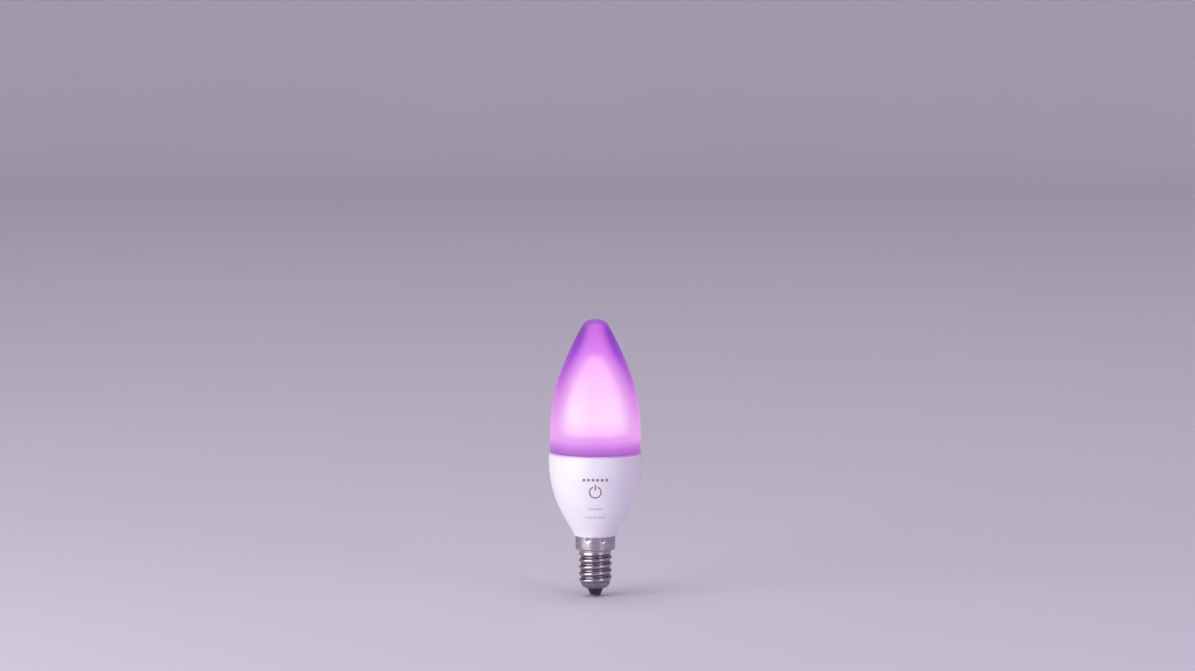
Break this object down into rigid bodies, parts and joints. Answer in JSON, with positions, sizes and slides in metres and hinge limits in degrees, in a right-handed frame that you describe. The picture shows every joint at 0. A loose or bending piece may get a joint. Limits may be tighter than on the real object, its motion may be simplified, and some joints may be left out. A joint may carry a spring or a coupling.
{
  "type": "smart light bulb",
  "caption": "Candle-shaped colour light bulb with a frosted cover, a tapered white housing and a small nickel screw cap.",
  "frame": {"origin": "middle of the centre contact's end face, the lowest point of the lamp", "axes": "+Z from the cap to the candle's tip, +X to the right and -Y to the front, seen with the tip up"},
  "size_m": [0.039, 0.039, 0.117],
  "materials": {
    "frosted_cover": "frosted translucent polycarbonate, lit lilac from inside",
    "opal_diffuser": "opal diffuser, lit pale pink",
    "white_housing": "satin white moulded polycarbonate",
    "white_plastic": "white moulded plastic",
    "silicone_seal": "translucent silicone bead",
    "nickel": "nickel-plated brass sheet",
    "dark_glass": "black insulating glass",
    "contact_metal": "dull nickel-plated brass",
    "aluminium": "pressed aluminium",
    "thermal_silicone": "grey thermal pad",
    "white_board": "white solder mask on aluminium board",
    "white_film": "white reflector sheet",
    "light_package": "white moulded light package",
    "phosphor": "yellow phosphor",
    "colour_window": "clear window over three chips",
    "steel": "zinc-plated steel",
    "green_board": "green glass-fibre board",
    "dark_board": "dark glass-fibre board",
    "black_epoxy": "black moulded epoxy",
    "ferrite": "sintered ferrite",
    "black_plastic": "black moulded plastic",
    "copper_winding": "enamelled copper wire",
    "yellow_tape": "yellow polyester tape over the winding",
    "capacitor_sleeve": "dark shrink sleeve on an aluminium can",
    "film_box": "orange film capacitor box",
    "resistor_body": "blue-grey coated ceramic",
    "chip_ceramic": "brown chip ceramic",
    "tinned_metal": "tinned pins and sheet",
    "copper_foil": "gold-finished copper track",
    "bare_copper": "tinned copper conductor",
    "red_insulation": "red wire insulation",
    "white_insulation": "white wire insulation",
    "sleeve_plastic": "natural insulating plastic"
  },
  "bodies": {
    "root": {"envelope": "frosted_cover", "inner_diffuser": "opal_diffuser", "seal_ring": "silicone_seal", "housing": "white_housing", "cap_shell": "nickel", "cap_insulator": "dark_glass", "centre_contact": "contact_metal", "diffuser_holder": "white_plastic", "reflector": "white_film", "light_board": "white_board", "white_lights": "light_package", "white_light_phosphors": "phosphor", "colour_lights": "light_package", "colour_light_windows": "colour_window", "board_thermistor": "black_epoxy", "board_screws": "steel", "light_header": "black_plastic", "light_pins": "tinned_metal", "thermal_pad": "thermal_silicone", "heat_spreader": "aluminium", "insulating_sleeve": "sleeve_plastic", "driver_board": "green_board", "transformer_core": "ferrite", "transformer_bobbin": "black_plastic", "transformer_winding": "yellow_tape", "output_capacitor": "capacitor_sleeve", "input_capacitor": "capacitor_sleeve", "film_capacitor": "film_box", "inductor_core": "ferrite", "inductor_winding": "copper_winding", "bridge_rectifier": "black_epoxy", "driver_chip": "black_epoxy", "power_transistor": "black_epoxy", "output_diode": "black_epoxy", "fuse_resistor": "resistor_body", "chip_resistors": "black_epoxy", "chip_capacitors": "chip_ceramic", "radio_board": "dark_board", "radio_header": "black_plastic", "radio_pins": "tinned_metal", "radio_shield": "tinned_metal", "radio_chip": "black_epoxy", "radio_crystal": "tinned_metal", "antenna": "copper_foil", "live_wire": "bare_copper", "live_wire_sleeve": "red_insulation", "neutral_wire": "bare_copper", "neutral_wire_sleeve": "white_insulation"}
  },
  "joints": []
}
